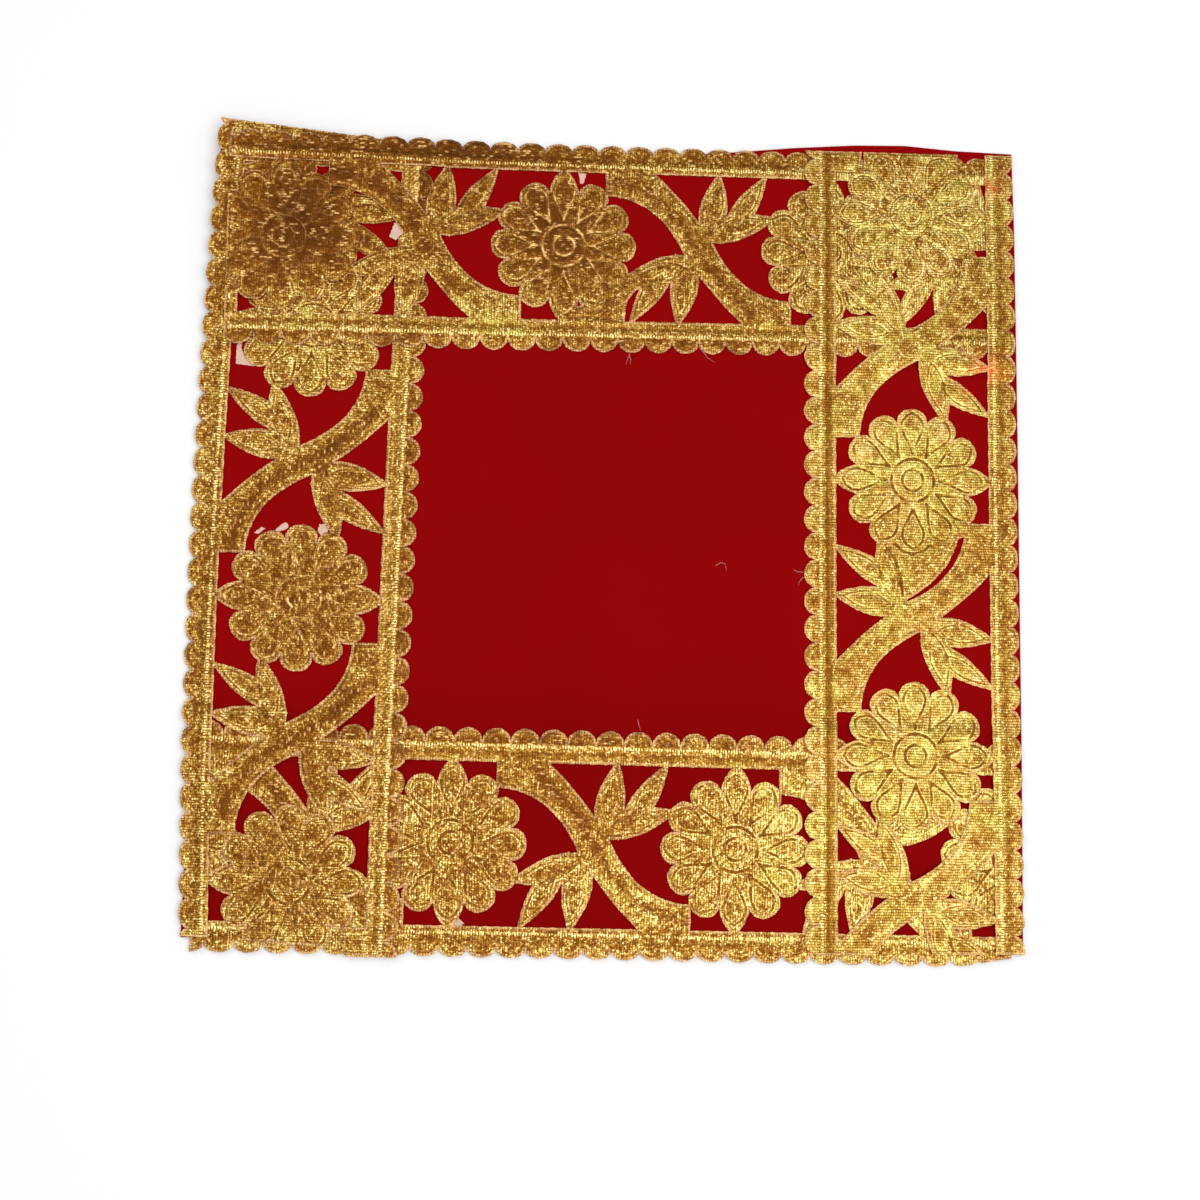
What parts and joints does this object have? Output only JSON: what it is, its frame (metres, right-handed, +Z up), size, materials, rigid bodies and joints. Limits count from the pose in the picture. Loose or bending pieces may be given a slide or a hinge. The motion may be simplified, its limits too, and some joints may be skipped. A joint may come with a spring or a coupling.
{
  "type": "altar cloth",
  "caption": "Square red altar cloth with a border of gold cut-work ribbon, lying flat with its far left corner curling up.",
  "frame": {"origin": "middle of the bounding box, on the face that the cloth rests on", "axes": "+Z up out of the cloth's face, +X towards its right edge and +Y towards its far edge, as the cloth lies in front of a viewer"},
  "size_m": [0.2844, 0.2866, 0.008],
  "materials": {
    "red_fabric": "smooth plain weave, dull",
    "gold_fabric": "metallic gold weave, sparkling"
  },
  "bodies": {
    "root": {"red_cloth": "red_fabric", "ribbon_bottom": "gold_fabric", "ribbon_left": "gold_fabric", "ribbon_top": "gold_fabric", "ribbon_right": "gold_fabric"}
  },
  "joints": []
}
